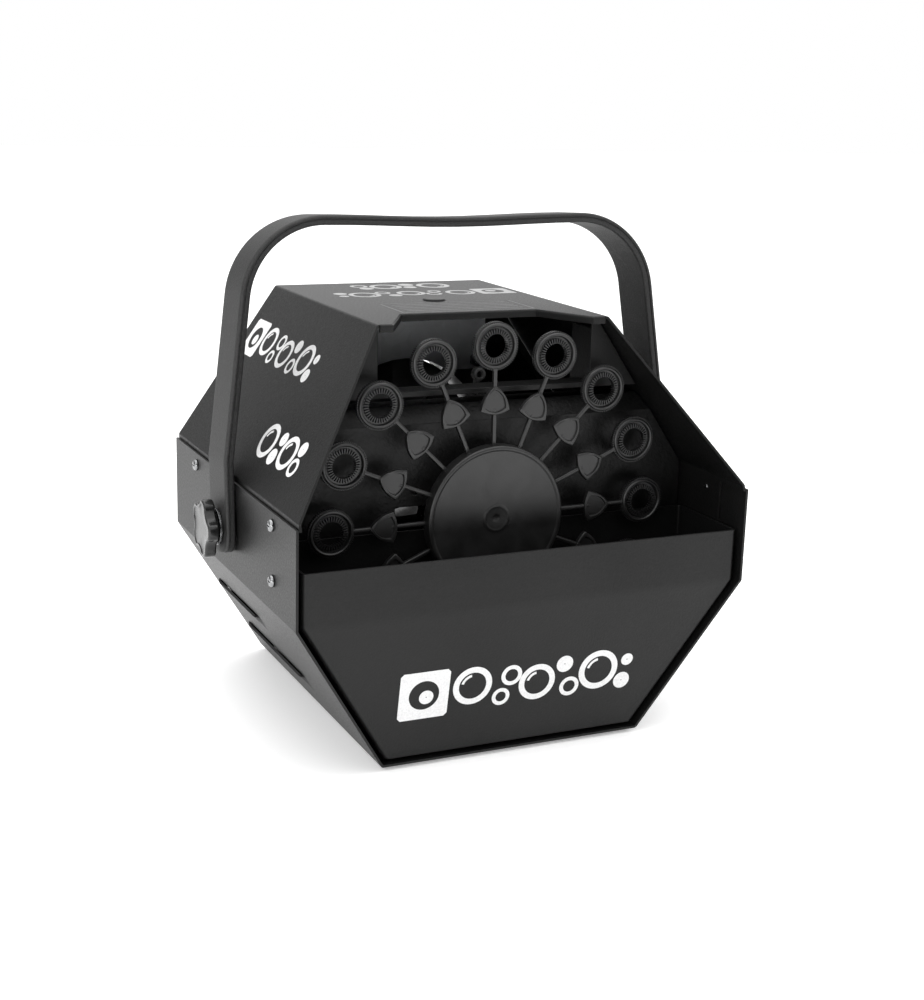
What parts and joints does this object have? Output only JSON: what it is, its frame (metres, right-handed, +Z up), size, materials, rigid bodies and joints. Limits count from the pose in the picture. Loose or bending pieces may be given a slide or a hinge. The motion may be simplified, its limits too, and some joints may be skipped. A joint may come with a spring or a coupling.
{
  "type": "bubble machine",
  "caption": "Compact hexagonal sheet-metal bubble machine with a tilting carry handle, an open-fronted fluid tank, a turning wheel of bubble wands and a fan behind it.",
  "frame": {"origin": "on the floor below the middle of the whole object", "axes": "+Z up, the open front faces -Y, +X to the right seen from the front"},
  "size_m": [0.2586, 0.193, 0.2484],
  "materials": {
    "powder_coat": "black powder coat on 1.2 mm sheet steel, fine texture",
    "black_plastic": "moulded black, fine spark texture",
    "textured_plastic": "moulded black with a sandy grain",
    "wheel_plastic": "moulded black, satin",
    "rubber": "matte",
    "zinc_steel": "zinc plated",
    "galvanised_steel": "galvanised",
    "cable_pvc": "smooth cable sheath"
  },
  "bodies": {
    "chassis": {"lower_shell": "powder_coat", "upper_cover": "powder_coat", "top_plug": "black_plastic", "rear_panel": "powder_coat", "fluid_tank": "powder_coat", "fan_baffle": "powder_coat", "motor_plate": "powder_coat", "motor_bracket": "zinc_steel", "gear_motor": "zinc_steel", "fan_frame": "black_plastic", "fan_guard": "zinc_steel", "fan_strap": "galvanised_steel", "fan_screw_1": "zinc_steel", "fan_screw_2": "zinc_steel", "fan_screw_3": "zinc_steel", "fan_screw_4": "zinc_steel", "fan_nut_1": "zinc_steel", "fan_nut_2": "zinc_steel", "power_inlet": "black_plastic", "switch_frame": "black_plastic", "fuse_holder": "black_plastic", "motor_lead": "cable_pvc", "fan_lead": "cable_pvc", "cable_clip": "black_plastic", "handle_spacer_right": "black_plastic", "handle_spacer_left": "black_plastic", "pivot_nut_right": "zinc_steel", "pivot_nut_left": "zinc_steel", "cover_screw_rear_upper_right": "zinc_steel", "cover_screw_rear_upper_left": "zinc_steel", "cover_screw_front_upper_right": "zinc_steel", "cover_screw_front_upper_left": "zinc_steel", "cover_screw_front_lower_right": "zinc_steel", "cover_screw_front_lower_left": "zinc_steel", "rubber_foot_1": "rubber", "rubber_foot_2": "rubber", "rubber_foot_3": "rubber", "rubber_foot_4": "rubber", "base_screw_1": "zinc_steel", "base_screw_2": "zinc_steel"},
    "wheel": {"bubble_wheel": "wheel_plastic", "motor_shaft": "zinc_steel", "axle_collar": "zinc_steel"},
    "impeller": {"fan_impeller": "black_plastic"},
    "handle": {"carry_handle": "textured_plastic"},
    "knob_right": {"star_knob_right": "black_plastic", "knob_washer_right": "zinc_steel"},
    "knob_left": {"star_knob_left": "black_plastic", "knob_washer_left": "zinc_steel"},
    "rocker": {"switch_rocker": "black_plastic"},
    "fuse": {"fuse_cap": "black_plastic"}
  },
  "joints": [
    {"name": "wheel_spin", "type": "hinge", "parent": "chassis", "child": "wheel", "pos_m": [0, -0.052, 0.109], "axis": [0, -1, 0], "continuous": true},
    {"name": "fan_spin", "type": "hinge", "parent": "chassis", "child": "impeller", "pos_m": [0, 0.073, 0.124], "axis": [0, 1, 0], "continuous": true},
    {"name": "handle_tilt", "type": "hinge", "parent": "chassis", "child": "handle", "pos_m": [0, 0.001, 0.101], "axis": [1, 0, 0], "range_deg": [-26, 34]},
    {"name": "knob_right_turn", "type": "hinge", "parent": "chassis", "child": "knob_right", "pos_m": [0.126, 0.001, 0.101], "axis": [1, 0, 0], "range_deg": [0, 360]},
    {"name": "knob_left_turn", "type": "hinge", "parent": "chassis", "child": "knob_left", "pos_m": [-0.126, 0.001, 0.101], "axis": [-1, 0, 0], "range_deg": [0, 360]},
    {"name": "rocker_tilt", "type": "hinge", "parent": "chassis", "child": "rocker", "pos_m": [0.026, 0.086, 0.042], "axis": [0, 0, 1], "range_deg": [-16, 0]},
    {"name": "fuse_cap_turn", "type": "hinge", "parent": "chassis", "child": "fuse", "pos_m": [0, 0.09, 0.062], "axis": [0, 1, 0], "range_deg": [0, 90]}
  ]
}
